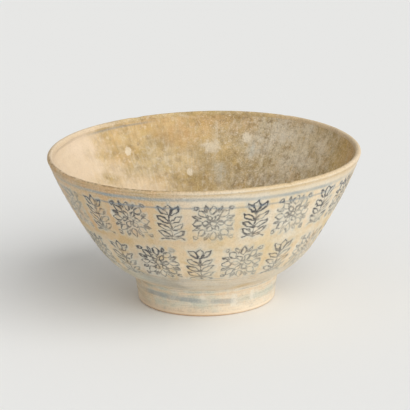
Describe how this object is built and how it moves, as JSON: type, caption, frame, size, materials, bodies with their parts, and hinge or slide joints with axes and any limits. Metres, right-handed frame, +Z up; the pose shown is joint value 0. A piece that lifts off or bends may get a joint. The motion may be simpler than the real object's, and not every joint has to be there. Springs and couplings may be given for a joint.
{
  "type": "porcelain bowl",
  "caption": "Footed porcelain bowl with a flared rounded wall, thin worn lip, stained cream glaze and rows of blue printed ornament, for serving food.",
  "frame": {"origin": "centre of the foot ring's resting edge, on the bowl's axis", "axes": "+Z up the bowl's axis from the foot to the lip; X and Y across the rim, -Y towards the pictured front"},
  "size_m": [0.15, 0.15, 0.0743],
  "materials": {
    "clay": "bare worn porcelain clay at the lip and stacking ring",
    "foot_clay": "bare clay fired orange-brown at the foot's edge",
    "exterior_glaze": "aged cream glaze with blue-black underglaze print and stripes",
    "interior_glaze": "dull stained beige glaze",
    "base_glaze": "thin cream glaze"
  },
  "bodies": {
    "root": {"bowl_body": "clay", "foot_ring": "foot_clay", "exterior_glaze": "exterior_glaze", "interior_glaze": "interior_glaze", "well_glaze": "interior_glaze", "base_glaze": "base_glaze"}
  },
  "joints": []
}
